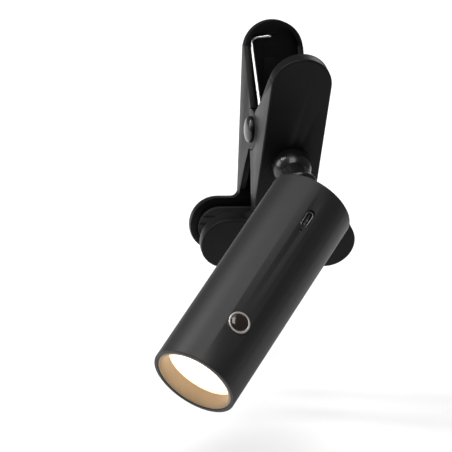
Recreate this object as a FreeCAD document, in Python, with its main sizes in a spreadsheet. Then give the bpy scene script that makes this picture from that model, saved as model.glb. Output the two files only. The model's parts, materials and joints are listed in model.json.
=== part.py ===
import FreeCAD, Part
import math
import os
import Sketcher
from FreeCAD import Placement, Rotation, Vector

# Cordless clip-on reading lamp: a spring clip with two T-shaped levers, a ball neck on the front
# lever and a round lamp head.  Millimetres, +Z up, +X across the clip, +Y from the front jaw
# towards the rear jaw.  The origin is the middle of the front pad's gripping face.

SIZES = {
    # clip
    "leverWidth": 28.8, "leverLean": 10.5, "pivotToFace": 24.3, "handleReach": 31.0,
    "handleDepth": 6.0, "leverWall": 2.2, "cheekWall": 2.7, "jawReach": 53.4,
    "jawWidth": 75.4, "jawHeight": 26.6, "jawFillet": 3.2, "gripGap": 16.0,
    "faceRound": 0.9, "jawDepth": 12.0,
    "cheekToeDeep": 11.2, "cheekToeDrop": 33.5, "cheekKneeDeep": 5.8, "cheekKneeDrop": 19.3,
    "cheekLowDeep": 1.6, "cheekLowDrop": 10.3, "cheekMidDeep": 1.0, "cheekHighDeep": 4.2,
    "cheekHighRise": 9.7, "cheekTopDeep": 13.2, "cheekTopRise": 18.5, "cheekLap": 1.0, "cheekOver": 2.0,
    "padWidth": 68.0, "padHeight": 20.0, "padThick": 3.0, "padSeat": 1.0, "padClear": 0.15,
    "grooveWidth": 1.2, "grooveDeep": 0.6, "groovePitch": 3.6,
    "grooveCount": 4,
    # hinge of the clip
    "pinDiameter": 4.0, "pinPlay": 0.05, "lugRadius": 9.5, "lugGap": 0.1, "lugClear": 0.5,
    "capDiameter": 12.6, "capHeight": 2.9, "capEdge": 1.0, "pinGrip": 2.0,
    "capGap": 0.1, "bossRadius": 6.2, "bossLength": 4.0,
    # spring of the clip
    "wireDiameter": 1.5, "coilRadius": 7.3, "coilClear": 0.25, "coilTurns": 6,
    "legReach": 36.3, "legBend": 3.0, "tipRun": 10.0, "tipRise": 1.3, "tipBend": 1.3,
    "tipDeep": 1.6, "tipClear": 0.2,
    "ribWidth": 8.0, "ribLow": 4.0, "ribHigh": 27.0, "ribProud": 0.8,
    # neck
    "neckDrop": 10.2, "domeRadius": 9.3, "domeLift": 2.5, "domeHeight": 9.0,
    "washerThick": 0.3, "washerRadius": 5.0, "screwDiameter": 4.0, "screwPlay": 0.1,
    "screwHead": 8.0, "screwHeadHigh": 2.4, "springWasher": 0.8,
    "collarWaist": 6.7, "collarFlare": 8.3, "collarLength": 10.0, "collarRound": 2.2,
    "studDiameter": 5.0, "ballDiameter": 16.0, "ballPlay": 0.08, "neckStandoff": 38.0,
    "screwBite": 5.0, "studWeb": 1.0,
    # place of the head at rest
    "swivelAngle": -146.1, "tiltAngle": 46.1, "spinAngle": -144.8, "ballSink": 2.0,
    # head
    "headDiameter": 40.0, "headLength": 108.7, "tubeWall": 1.8, "tubeRound": 0.8,
    "frontRound": 0.4, "fitGap": 0.05, "capInset": 0.3, "capFlange": 2.5, "capSkirt": 7.7,
    "skirtWall": 1.6, "seatRadius": 10.6, "seatStep": 1.0, "seatStepHigh": 1.2, "seatDeep": 9.5,
    "hubRadius": 15.5, "seatExit": 5.6, "retainerThick": 1.5, "capScrewCircle": 13.2,
    "capScrewDiameter": 1.9, "capScrewHead": 3.6, "capScrewHeadHigh": 1.2, "capScrewDeep": 6.0,
    "capScrewCount": 3, "capScrewTurn": 60.0,
    "cellDiameter": 18.4, "cellLength": 65.0, "cellStart": 19.5, "cellOffset": 2.6,
    "nubRadius": 3.0, "nubHigh": 1.0, "cellClear": 0.2,
    "cradleStart": 14.0, "cradleGap": 1.1, "cradleWall": 1.6, "cradleClear": 0.2,
    "cradleRib": 3.0, "cradleRibPitch": 30.0, "cradleRibs": 3,
    "boardWidth": 22.0, "boardStart": 14.5, "boardPast": 3.7, "boardThick": 1.2, "boardInset": 8.8,
    "chipSide": 5.0, "chipTall": 1.0, "chipPlace": 40.0, "chokeRadius": 3.0, "chokeTall": 3.0,
    "chokePlace": 54.0,
    "portPlace": 19.4, "portLong": 9.8, "portWide": 4.0,
    "shellLong": 8.94, "shellWide": 3.26, "shellWall": 0.35, "shellTall": 6.4,
    "shellFloor": 0.6, "tongueLong": 6.6, "tongueWide": 0.7, "tongueShort": 0.8,
    "lightPlace": 26.8, "lightDiameter": 1.8, "pipeClear": 0.05, "pipeGap": 0.2, "pipeInset": 0.7,
    "ledLong": 1.6, "ledWide": 0.8, "ledTall": 0.8,
    "buttonFromFront": 25.9, "ringDiameter": 10.0, "ringWall": 0.9, "ringProud": 0.5, "ringClear": 0.05,
    "ringRound": 0.3,
    "ringDeep": 2.9, "buttonPlay": 0.1, "buttonCrown": 0.9, "buttonLow": 0.25,
    "flangeRadius": 4.8, "flangeThick": 0.6, "buttonTravel": 0.8,
    "switchSide": 6.0, "switchTall": 3.0, "plungerRadius": 1.7,
    "frontRecess": 8.0, "lensThick": 1.6, "lensClear": 0.2, "bezelWall": 1.2, "bezelInset": 0.3,
    "gasketThick": 0.7, "gasketWall": 1.4,
    "reflectorDeep": 5.6, "reflectorWall": 0.9, "emitterRadius": 6.4, "emitterThick": 0.8,
    "emitterClear": 0.3,
    "ledBoardThick": 1.2, "ledBoardClear": 1.7, "sinkThick": 3.5,
}

doc = FreeCAD.newDocument("ClipLamp")
sheet = doc.addObject("Spreadsheet::Sheet", "Dims")
for row, (alias, value) in enumerate(SIZES.items(), start=1):
    sheet.set(f"A{row}", alias)
    sheet.set(f"B{row}", str(value))
    sheet.setAlias(f"B{row}", alias)
doc.recompute()

D = "Dims."
TOUCH = 1e-6                                        # two heights this near are the same
PAST = 1                                            # how far a cut runs past the face it leaves by
LEAN = f"{D}leverLean"
FACE_IN = f"{D}pivotToFace*cos({LEAN})"             # pivot's depth behind the lever's face
FACE_UP = f"-{D}pivotToFace*sin({LEAN})"            # pivot's height in the lever's own frame
HALF_LEVER = f"{D}leverWidth/2"
LUG_SPLIT = f"({D}leverWidth/2-{D}cheekWall/2)"     # where the two levers' lugs meet
COIL_HALF = f"({D}leverWidth/2-{D}cheekWall-{D}wireDiameter/2-{D}coilClear)"
PAD_PLANE = f"({D}gripGap/2+{D}padThick-{D}padSeat)"  # jaw's inner face, from the mid plane


def number(expression):
    return float(sheet.evalExpression(expression))


def plane(body, role):
    return next(item for item in body.Origin.OriginFeatures if item.Role == role)


def new_body(label):
    body = doc.addObject("PartDesign::Body", label)
    body.Label = label
    return body


def attach(body, role, lift):
    sketch = body.newObject("Sketcher::SketchObject", "Sketch")
    sketch.AttachmentSupport = [(plane(body, role), "")]
    sketch.MapMode = "FlatFace"
    if lift:
        sketch.setExpression("AttachmentOffset.Base.z", lift)
    return sketch


def pin_down(sketch, geometry, end, across, up):
    # ties one point of the sketch to its two coordinates
    for kind, axis, expression in (("DistanceX", -2, across), ("DistanceY", -1, up)):
        if expression == "0":
            sketch.addConstraint(Sketcher.Constraint("PointOnObject", geometry, end, axis))
            continue
        rule = Sketcher.Constraint(kind, -1, 1, geometry, end, number(expression))
        index = sketch.addConstraint(rule)
        sketch.setExpression(f"Constraints[{index}]", expression)


def arc_between(start, end, radius, clockwise):
    chord = end - start
    side = Vector(chord.y, -chord.x, 0) if clockwise else Vector(-chord.y, chord.x, 0)
    reach = math.sqrt(max(radius ** 2 - chord.Length ** 2 / 4, 0))
    centre = (start + end) / 2 + side.normalize() * reach
    first, last = (end, start) if clockwise else (start, end)
    turns = [math.atan2(spot.y - centre.y, spot.x - centre.x) for spot in (first, last)]
    return Part.ArcOfCircle(Part.Circle(centre, Vector(0, 0, 1), radius), *turns)


def outline(body, role, corners, lift=""):
    # Closed outline.  A corner is (across, up); with a third item, the edge that arrives there
    # is an arc of that radius, anticlockwise, or clockwise when a fourth item is given.
    sketch = attach(body, role, lift)
    spots = [Vector(number(corner[0]), number(corner[1]), 0) for corner in corners]
    edges = []
    for index, corner in enumerate(corners):
        start, end = spots[index - 1], spots[index]
        if len(corner) == 2:
            edges.append((sketch.addGeometry(Part.LineSegment(start, end), False), 1, 2))
            continue
        clockwise = len(corner) == 4
        arc = arc_between(start, end, number(corner[2]), clockwise)
        edges.append((sketch.addGeometry(arc, False),) + ((2, 1) if clockwise else (1, 2)))
    for index, (geometry, _, last) in enumerate(edges):
        following, first, _ = edges[(index + 1) % len(edges)]
        sketch.addConstraint(Sketcher.Constraint("Coincident", geometry, last, following, first))
        pin_down(sketch, geometry, last, *corners[index][:2])
        if len(corners[index]) > 2:
            radius = corners[index][2]
            rule = Sketcher.Constraint("Radius", geometry, number(radius))
            sketch.setExpression(f"Constraints[{sketch.addConstraint(rule)}]", radius)
    return sketch


def circles(body, role, rounds, lift=""):
    # one or more circles, each (across, up, radius)
    sketch = attach(body, role, lift)
    for across, up, radius in rounds:
        centre = Vector(number(across), number(up), 0)
        circle = Part.Circle(centre, Vector(0, 0, 1), number(radius))
        geometry = sketch.addGeometry(circle, False)
        pin_down(sketch, geometry, 3, across, up)
        rule = Sketcher.Constraint("Radius", geometry, number(radius))
        sketch.setExpression(f"Constraints[{sketch.addConstraint(rule)}]", radius)
    return sketch


def rectangle(low_across, low_up, high_across, high_up):
    return [(low_across, low_up), (high_across, low_up), (high_across, high_up), (low_across, high_up)]


def stadium(half_long, half_high, across="0", up="0", upright=False):
    # long round-ended outline, lying along the first axis or upright along the second
    flat = f"({half_long}-{half_high})"
    if upright:
        return [
            (f"{across}+{half_high}", f"{up}-{flat}", half_high), (f"{across}+{half_high}", f"{up}+{flat}"),
            (across, f"{up}+{half_long}", half_high), (f"{across}-{half_high}", f"{up}+{flat}", half_high),
            (f"{across}-{half_high}", f"{up}-{flat}"), (across, f"{up}-{half_long}", half_high)]
    return [
        (f"{across}+{flat}", f"{up}-{half_high}"), (f"{across}+{half_long}", up, half_high),
        (f"{across}+{flat}", f"{up}+{half_high}", half_high), (f"{across}-{flat}", f"{up}+{half_high}"),
        (f"{across}-{half_long}", up, half_high), (f"{across}-{flat}", f"{up}-{half_high}", half_high)]


def grow(kind, sketch, length, reverse=False):
    # adds to or cuts from the sketch's body, and stops if a cut removes nothing
    body = sketch.getParentGeoFeatureGroup()
    before = body.Shape.Volume if body.Tip else 0
    feature = body.newObject(f"PartDesign::{kind}", kind)
    feature.Profile = sketch
    feature.setExpression("Length", length)
    feature.Reversed = reverse
    doc.recompute()
    if kind == "Pocket" and body.Shape.Volume > before - 1e-3:
        raise RuntimeError(f"{body.Label}: a pocket cuts nothing")
    return feature


def pad(sketch, length, reverse=False):
    return grow("Pad", sketch, length, reverse)


def pocket(sketch, length, reverse=False):
    return grow("Pocket", sketch, length, reverse)


def spin(sketch, axis="V_Axis"):
    body = sketch.getParentGeoFeatureGroup()
    feature = body.newObject("PartDesign::Revolution", "Turned")
    feature.Profile = sketch
    feature.ReferenceAxis = (sketch, [axis])
    feature.Angle = 360
    doc.recompute()
    return body


def turned(label, corners):
    # a piece of revolution about its own Z, from its half section as (radius, height)
    return spin(outline(new_body(label), "XZ_Plane", corners))


def round_edges(body, wanted, radius):
    names = [f"Edge{i}" for i, edge in enumerate(body.Shape.Edges, 1) if wanted(edge)]
    if not names:
        raise RuntimeError(f"{body.Label}: no edge to round")
    sharp = body.Tip
    feature = body.newObject("PartDesign::Fillet", "Round")
    feature.Base = (sharp, names)
    feature.setExpression("Radius", radius)
    doc.recompute()


def row_pattern(body, feature, length, count):
    pattern = body.newObject("PartDesign::LinearPattern", "Row")
    pattern.Originals = [feature]
    pattern.Direction = (plane(body, "Z_Axis"), [""])
    pattern.setExpression("Length", length)
    pattern.setExpression("Occurrences", count)
    body.Tip = pattern
    doc.recompute()


# ---------------------------------------------------------------- places
def at_pivot(x, y, z):
    # a point measured from the clip's hinge axis, in the part's own frame
    return Vector(x, y + number(f"{D}gripGap/2"), z + number(f"{D}jawReach*cos({LEAN})"))


def lever_place(rear):
    lean = Rotation(Vector(1, 0, 0), number(LEAN))
    offset = number(f"{D}pivotToFace")
    if rear:
        return Placement(at_pivot(0, offset, 0), Rotation(Vector(0, 0, 1), 180) * lean)
    return Placement(at_pivot(0, -offset, 0), lean)


def neck_place():
    # on the front lever's face, with Z pointing straight out of it
    outward = Placement(Vector(0, 0, -number(f"{D}neckDrop")), Rotation(Vector(1, 0, 0), 90))
    return lever_place(False) * outward


def head_place():
    ball = Placement(Vector(0, 0, number(f"{D}neckStandoff")), Rotation())
    aim = Rotation(Vector(0, 0, 1), number(f"{D}swivelAngle"))
    aim = aim * Rotation(Vector(0, 1, 0), number(f"{D}tiltAngle"))
    aim = aim * Rotation(Vector(0, 0, 1), number(f"{D}spinAngle"))
    sink = Placement(Vector(0, 0, -number(f"{D}ballSink")), Rotation())
    return neck_place() * ball * Placement(Vector(), aim) * sink


def across_clip(x):
    # along the hinge axis, with Z pointing to +X
    return Placement(at_pivot(x, 0, 0), Rotation(Vector(0, 1, 0), 90))


# ---------------------------------------------------------------- levers
def lever_outline():
    low, high = f"-{D}jawReach-{D}jawHeight/2", f"-{D}jawReach+{D}jawHeight/2"
    end, flat = f"{D}jawWidth/2", f"{D}jawWidth/2-{D}jawHeight/2"
    half, bend, jaw_round = HALF_LEVER, f"{D}jawFillet", f"{D}jawHeight/2"
    return [
        (flat, low), (end, f"-{D}jawReach", jaw_round), (flat, high, jaw_round),
        (f"{half}+{bend}", high), (half, f"{high}+{bend}", bend, "clockwise"),
        (half, f"{D}handleReach"), ("0", f"{D}handleReach+{half}", half),
        (f"-{half}", f"{D}handleReach", half), (f"-{half}", f"{high}+{bend}"),
        (f"-({half}+{bend})", high, bend, "clockwise"), (f"-({flat})", high),
        (f"-({end})", f"-{D}jawReach", jaw_round), (f"-({flat})", low, jaw_round)]


def handle_hollow():
    # the open back of the handle, from just above the jaw to the round end
    inner = f"({HALF_LEVER}-{D}leverWall)"
    low = f"-{D}jawReach+{D}jawHeight/2+{D}jawFillet"
    return [
        (f"-{inner}", low), (inner, low), (inner, f"{D}handleReach"),
        ("0", f"{D}handleReach+{inner}", inner), (f"-{inner}", f"{D}handleReach", inner)]


def from_pivot(depth, height):
    # a point measured level and upright from the hinge axis, in the lever's own side view
    y, z = f"({depth}+{D}pivotToFace)", f"({height})"
    return f"{y}*cos({LEAN})+{z}*sin({LEAN})", f"{z}*cos({LEAN})-{y}*sin({LEAN})"


def cheek_outline():
    # side wall: widest level with the hinge, tapering up the handle and down to the jaw
    inside = f"{D}leverWall/2"
    low = f"-{D}jawReach+{D}jawHeight/2-{D}cheekLap"
    high = f"{D}handleReach+{D}cheekOver"
    return [
        (inside, low), from_pivot(f"-{D}cheekToeDeep", f"-{D}cheekToeDrop"),
        from_pivot(f"-{D}cheekKneeDeep", f"-{D}cheekKneeDrop"),
        from_pivot(f"-{D}cheekLowDeep", f"-{D}cheekLowDrop"), from_pivot(f"-{D}cheekMidDeep", "0"),
        from_pivot(f"-{D}cheekHighDeep", f"{D}cheekHighRise"),
        from_pivot(f"-{D}cheekTopDeep", f"{D}cheekTopRise"), (f"{D}handleDepth", high), (inside, high)]


def paddle(body):
    # the jaw is as deep as its level gripping face needs, because the lever leans
    jaw = stadium(f"{D}jawWidth/2", f"{D}jawHeight/2", up=f"-{D}jawReach")
    pad(outline(body, "XZ_Plane", jaw), f"{D}jawDepth", reverse=True)
    upper, lower = f"-{D}jawReach+{D}jawHeight", f"-{D}jawReach-{D}jawHeight"
    top, bottom = from_pivot(f"-{PAD_PLANE}", upper), from_pivot(f"-{PAD_PLANE}", lower)
    deep = f"{D}jawDepth*2"
    trim = [bottom, (f"{bottom[0]}+{deep}", bottom[1]), (f"{top[0]}+{deep}", top[1]), top]
    pocket(outline(body, "YZ_Plane", trim, lift=f"-{D}jawWidth"), f"{D}jawWidth*2", reverse=True)


def tilted_sketch(body, corners, depth):
    # a sketch on the jaw's level gripping plane, with its middle at the middle of the pad
    sketch = outline(body, "XZ_Plane", corners)
    middle = from_pivot(f"-({depth})", f"-{D}jawReach*cos({LEAN})")
    sketch.AttachmentOffset = Placement(Vector(), Rotation(Vector(-1, 0, 0), number(LEAN)))
    sketch.setExpression("AttachmentOffset.Rotation.Angle", LEAN)
    sketch.setExpression("AttachmentOffset.Base.y", middle[1])
    sketch.setExpression("AttachmentOffset.Base.z", f"-({middle[0]})")
    return sketch


def cheeks(body, outer_lug):
    # both side walls; the lugs are half as thick and lap, one lever's outside the other's
    for side in (1, -1):
        start = f"{side}*({HALF_LEVER}-{D}cheekWall)"
        pad(outline(body, "YZ_Plane", cheek_outline(), lift=start), f"{D}cheekWall", reverse=side < 0)
    for side in (1, -1):
        start = f"{side}*({HALF_LEVER}-{D}cheekWall-{PAST})"
        relief = circles(body, "YZ_Plane", [(FACE_IN, FACE_UP, f"{D}lugRadius+{D}lugClear")], lift=start)
        pocket(relief, f"{D}cheekWall+2*{PAST}", reverse=side > 0)
    for side in (1, -1):
        inner = f"({HALF_LEVER}-{D}cheekWall)"
        start, length = inner, f"{LUG_SPLIT}-{D}lugGap/2-{inner}"
        if outer_lug:
            start = f"({LUG_SPLIT}+{D}lugGap/2)"
            length = f"{HALF_LEVER}-{start}"
        lug = lug_outline()
        pad(outline(body, "YZ_Plane", lug, lift=f"{side}*{start}"), length, reverse=side < 0)


def lug_outline():
    # round eye about the hinge with a root that runs out to the lever's plate
    reach = f"{D}lugRadius"
    back, level = FACE_IN, f"({FACE_UP})"
    return [
        (f"{back}", f"{level}-{reach}"), (f"{back}+{reach}", level, reach),
        (back, f"{level}+{reach}", reach), (f"{D}leverWall/2", f"{level}+{reach}"),
        (f"{D}leverWall/2", f"{level}-{reach}")]


def pad_recess(body):
    long_half = f"({D}padWidth/2+{D}padClear)"
    high_half = f"({D}padHeight/2+{D}padClear)"
    pocket(tilted_sketch(body, stadium(long_half, high_half), PAD_PLANE), f"{D}padSeat", reverse=True)


def coil_bosses(body):
    # the spring's coil is held round these, inside the front lever's lugs
    for side in (1, -1):
        start = f"{side}*({HALF_LEVER}-{D}cheekWall-{D}bossLength)"
        boss = circles(body, "YZ_Plane", [(FACE_IN, FACE_UP, f"{D}bossRadius")], lift=start)
        pad(boss, f"{D}bossLength", reverse=side < 0)


def lever_holes(body, rear):
    pin_hole = [(FACE_IN, FACE_UP, f"{D}pinDiameter/2+{D}pinPlay")]
    bore = circles(body, "YZ_Plane", pin_hole, lift=f"-{D}leverWidth")
    pocket(bore, f"{D}leverWidth*2", reverse=True)
    tip = [(f"{COIL_HALF}-{D}tipRun", f"{D}legReach+{D}tipRise", f"{D}wireDiameter/2+{D}tipClear")]
    tip_hole = circles(body, "XZ_Plane", tip, lift=f"-{D}leverWall")
    pocket(tip_hole, f"{D}tipDeep+{D}tipClear-{D}wireDiameter/2-{D}fitGap", reverse=True)
    if not rear:
        screw = [("0", f"-{D}neckDrop", f"{D}screwDiameter/2+{D}screwPlay")]
        pocket(circles(body, "XZ_Plane", screw, lift=f"{PAST}"), f"{D}leverWall+2*{PAST}")


def on_face_outline(edge):
    # the rim of the lever's outer face, but not the screw's round hole in it
    level = all(abs(corner.Point.y) < TOUCH for corner in edge.Vertexes)
    return level and abs(edge.CenterOfMass.y) < TOUCH and not edge.isClosed()


def lever(label, rear):
    body = new_body(label)
    pad(outline(body, "XZ_Plane", lever_outline()), f"{D}handleDepth", reverse=True)
    hollow = outline(body, "XZ_Plane", handle_hollow(), lift=f"-{D}leverWall")
    pocket(hollow, f"{D}handleDepth")
    paddle(body)
    pad_recess(body)
    cheeks(body, outer_lug=rear)
    rib = rectangle(f"-{D}ribWidth/2", f"{D}ribLow", f"{D}ribWidth/2", f"{D}ribHigh")
    pad(outline(body, "XZ_Plane", rib, lift=f"-{D}leverWall"), f"{D}ribProud", reverse=True)
    if not rear:
        coil_bosses(body)
    lever_holes(body, rear)
    round_edges(body, on_face_outline, f"{D}faceRound")
    body.Placement = lever_place(rear)


def grip_pad(label, rear):
    # rubber facing with cross grooves; its gripping face is its own XZ plane
    body = new_body(label)
    pad(outline(body, "XZ_Plane", stadium(f"{D}padWidth/2", f"{D}padHeight/2")), f"{D}padThick")
    run = f"{D}groovePitch*({D}grooveCount-1)"
    low = f"-{run}/2-{D}grooveWidth/2"
    groove = rectangle(f"-{D}padWidth/2", low, f"{D}padWidth/2", f"{low}+{D}grooveWidth")
    first = pocket(outline(body, "XZ_Plane", groove), f"{D}grooveDeep", reverse=True)
    row_pattern(body, first, run, f"{D}grooveCount")
    if rear:
        body.Placement = Placement(Vector(0, number(f"{D}gripGap"), 0), Rotation(Vector(0, 0, 1), 180))


# ---------------------------------------------------------------- hinge and spring of the clip
def hinge_pin():
    half, radius = f"({HALF_LEVER}+{D}capGap+{D}pinGrip)", f"{D}pinDiameter/2"
    pin = turned("pivot_pin", rectangle("0", f"-{half}", radius, half))
    pin.Placement = across_clip(0)


def pin_cap(label, side):
    rim, rise = f"({D}capDiameter/2)", f"({D}capHeight-{D}capEdge)"
    cap = turned(label, [
        (f"{D}pinDiameter/2", "0"), (rim, "0"), (rim, f"{D}capEdge"),
        ("0", f"{D}capHeight", f"({rim}^2+{rise}^2)/(2*{rise})"),
        ("0", f"{D}pinGrip"), (f"{D}pinDiameter/2", f"{D}pinGrip")])
    base = side * number(f"{HALF_LEVER}+{D}capGap")
    cap.Placement = Placement(at_pivot(base, 0, 0), Rotation(Vector(0, 1, 0), 90 * side))


def bent_wire(points, bends):
    # a centre line of straight runs with an arc of the given radius at each inner point
    edges = []
    start = points[0]
    for before, corner, after, radius in zip(points, points[1:], points[2:], bends):
        back = (before - corner).normalize()
        ahead = (after - corner).normalize()
        cut = radius / math.tan(back.getAngle(ahead) / 2)
        first, last = corner + back * cut, corner + ahead * cut
        middle = (back + ahead).normalize()
        centre = corner + middle * math.hypot(radius, cut)
        edges.append(Part.LineSegment(start, first).toShape())
        edges.append(Part.Arc(first, centre - middle * radius, last).toShape())
        start = last
    edges.append(Part.LineSegment(start, points[-1]).toShape())
    return edges


def wire_solid(path):
    first = path.Edges[0]
    start, along = first.valueAt(first.FirstParameter), first.tangentAt(first.FirstParameter)
    section = Part.Wire([Part.makeCircle(number(f"{D}wireDiameter/2"), start, along)])
    return path.makePipeShell([section], True, False)


def spring_contact():
    # where the leg leaves the coil, in the lever's own side view: its angle about the hinge
    depth = number(f"{D}leverWall+{D}wireDiameter/2+{D}fitGap")
    corner = Vector(0, depth - number(FACE_IN), number(f"{D}legReach") - number(FACE_UP))
    turn = math.acos(number(f"{D}coilRadius") / corner.Length)
    return math.atan2(corner.z, corner.y) - turn, depth


def on_coil(angle, x):
    radius = number(f"{D}coilRadius")
    return Vector(x, number(FACE_IN) + radius * math.cos(angle), number(FACE_UP) + radius * math.sin(angle))


def spring_leg(lead):
    # the centre line of a leg, which starts that far along it from the coil
    angle, depth = spring_contact()
    x = number(COIL_HALF)
    touch = on_coil(angle, x)
    corner = Vector(x, depth, number(f"{D}legReach"))
    run_end = Vector(x - number(f"{D}tipRun"), depth, number(f"{D}legReach+{D}tipRise"))
    tip = run_end - Vector(0, number(f"{D}tipDeep"), 0)
    start = touch + (corner - touch).normalize() * lead
    return bent_wire([start, corner, run_end, tip], [number(f"{D}legBend"), number(f"{D}tipBend")])


def spring_coil():
    # Each half turn is a half circle in its own slanted plane, so it runs on smoothly into the
    # next.  The coil starts with a level stretch that points along the front lever's leg.
    angle, half = spring_contact()[0], number(COIL_HALF)
    count = round(number(f"{D}coilTurns*2")) + 1
    lead_in = 2 * (angle + math.radians(number(LEAN)))
    last = angle - math.pi * count
    level = [on_coil(last - lead_in * share, -half) for share in (1, 0.5, 0)]
    edges = [Part.Arc(*level).toShape()]
    for index in reversed(range(count)):
        turn = angle - math.pi * index
        start = on_coil(turn - math.pi, half - 2 * half * (index + 1) / count)
        end = on_coil(turn, half - 2 * half * index / count)
        sideways = Vector(0, math.sin(turn), -math.cos(turn)) * ((end - start).Length / 2)
        edges.append(Part.Arc(start, (start + end) / 2 + sideways, end).toShape())
    return edges


def placed_shape(label, shape, placement):
    piece = doc.addObject("Part::Feature", label)
    piece.Label = label
    piece.Shape = shape
    piece.Placement = placement


# ---------------------------------------------------------------- neck
WASHER_TOP = f"({D}domeHeight+{D}washerThick)"
SCREW_RADIUS = f"{D}screwDiameter/2"
SCREW_BORE = f"({D}screwDiameter/2+{D}screwPlay)"
UNDER_HEAD = f"(-{D}leverWall-{D}springWasher)"
STUD_START = f"({WASHER_TOP}+{D}screwBite+{D}studWeb)"


def neck():
    top = f"sqrt({D}domeRadius^2-({D}domeHeight-{D}domeLift)^2)"
    dome = turned("dome_base", [
        (SCREW_BORE, "0"), (f"{D}domeRadius", "0"), (f"{D}domeRadius", f"{D}domeLift"),
        (top, f"{D}domeHeight", f"{D}domeRadius"), (SCREW_BORE, f"{D}domeHeight")])
    washer = turned("friction_washer", rectangle(
        SCREW_BORE, f"{D}domeHeight", f"{D}washerRadius", WASHER_TOP))
    lock = turned("spring_washer", rectangle(SCREW_BORE, UNDER_HEAD, f"{D}screwHead/2", f"-{D}leverWall"))
    screw = turned("neck_screw", [
        ("0", f"{UNDER_HEAD}-{D}screwHeadHigh"), (f"{D}screwHead/2", f"{UNDER_HEAD}-{D}screwHeadHigh"),
        (f"{D}screwHead/2", UNDER_HEAD), (SCREW_RADIUS, UNDER_HEAD),
        (SCREW_RADIUS, f"{WASHER_TOP}+{D}screwBite"), ("0", f"{WASHER_TOP}+{D}screwBite")])
    for piece in (dome, washer, lock, screw, collar(), ball_stud()):
        piece.Placement = neck_place()


def collar():
    shoulder = f"({WASHER_TOP}+{D}collarLength)"
    end, stud = f"({shoulder}+{D}collarRound)", f"{D}studDiameter/2"
    return turned("neck_collar", [
        (SCREW_RADIUS, WASHER_TOP), (f"{D}collarWaist", WASHER_TOP), (f"{D}collarFlare", shoulder),
        (f"{D}collarFlare-{D}collarRound", end, f"{D}collarRound"), (stud, end), (stud, STUD_START),
        ("0", STUD_START), ("0", f"{WASHER_TOP}+{D}screwBite"), (SCREW_RADIUS, f"{WASHER_TOP}+{D}screwBite")])


def ball_stud():
    ball, stud = f"{D}ballDiameter/2", f"{D}studDiameter/2"
    return turned("ball_stud", [
        ("0", STUD_START), (stud, STUD_START), (stud, f"{D}neckStandoff-sqrt(({ball})^2-({stud})^2)"),
        ("0", f"{D}neckStandoff+{ball}", ball)])


# ---------------------------------------------------------------- head
# In the head's own frame Z runs from the rear plane to the lit end, and the button faces +X.
TUBE_IN = f"({D}headDiameter/2-{D}tubeWall)"
FITTED = f"({TUBE_IN}-{D}fitGap)"
HUB_TOP = f"({D}seatDeep+{D}fitGap)"
BOARD_LOW = f"({D}headDiameter/2-{D}boardInset)"
BOARD_TOP = f"({BOARD_LOW}+{D}boardThick)"
RING_TOP = f"({D}headDiameter/2+{D}ringProud)"
RING_LOW = f"({RING_TOP}-{D}ringDeep)"
LENS_RADIUS = f"({TUBE_IN}-{D}lensClear)"
LENS_TOP = f"({D}headLength-{D}frontRecess)"
LENS_LOW = f"({LENS_TOP}-{D}lensThick)"
GASKET_LOW = f"({LENS_LOW}-{D}gasketThick)"
REFLECTOR_LOW = f"({GASKET_LOW}-{D}reflectorDeep)"
LED_BOARD_LOW = f"({REFLECTOR_LOW}-{D}ledBoardThick)"
SINK_LOW = f"({LED_BOARD_LOW}-{D}sinkThick)"
BUTTON_PLACE = f"({D}headLength-{D}buttonFromFront)"
BOARD_LENGTH = f"({BUTTON_PLACE}+{D}boardPast-{D}boardStart)"
CRADLE_LENGTH = f"({SINK_LOW}-{D}cradleGap-{D}cradleStart)"


def head_tube():
    body = turned("head_tube", rectangle(TUBE_IN, "0", f"{D}headDiameter/2", f"{D}headLength"))
    slot = stadium(f"{D}portLong/2", f"{D}portWide/2", up=f"{D}portPlace", upright=True)
    side_hole = dict(lift=f"{D}headDiameter/4")
    holes = [
        outline(body, "YZ_Plane", slot, **side_hole),
        circles(body, "YZ_Plane", [("0", f"{D}lightPlace", f"{D}lightDiameter/2")], **side_hole),
        circles(body, "YZ_Plane", [("0", BUTTON_PLACE, f"{D}ringDiameter/2+{D}ringClear")], **side_hole)]
    for hole in holes:
        pocket(hole, f"{D}headDiameter/2", reverse=True)
    outer = number(f"{D}headDiameter/2")

    def at_end(edge, height):
        return abs(edge.BoundBox.ZMax - height) < TOUCH and edge.BoundBox.ZLength < TOUCH \
            and abs(edge.BoundBox.XMax - outer) < 1e-3

    round_edges(body, lambda edge: at_end(edge, 0), f"{D}tubeRound")
    round_edges(body, lambda edge: at_end(edge, number(f"{D}headLength")), f"{D}frontRound")
    return body


CAP_SCREWS = int(number(f"{D}capScrewCount"))


def screw_spots(radius):
    # the rear cap's three screws, evenly round the socket
    turns = [f"({D}capScrewTurn+{index}*360/{D}capScrewCount)" for index in range(CAP_SCREWS)]
    return [(f"{D}capScrewCircle*cos({turn})", f"{D}capScrewCircle*sin({turn})", radius) for turn in turns]


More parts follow.
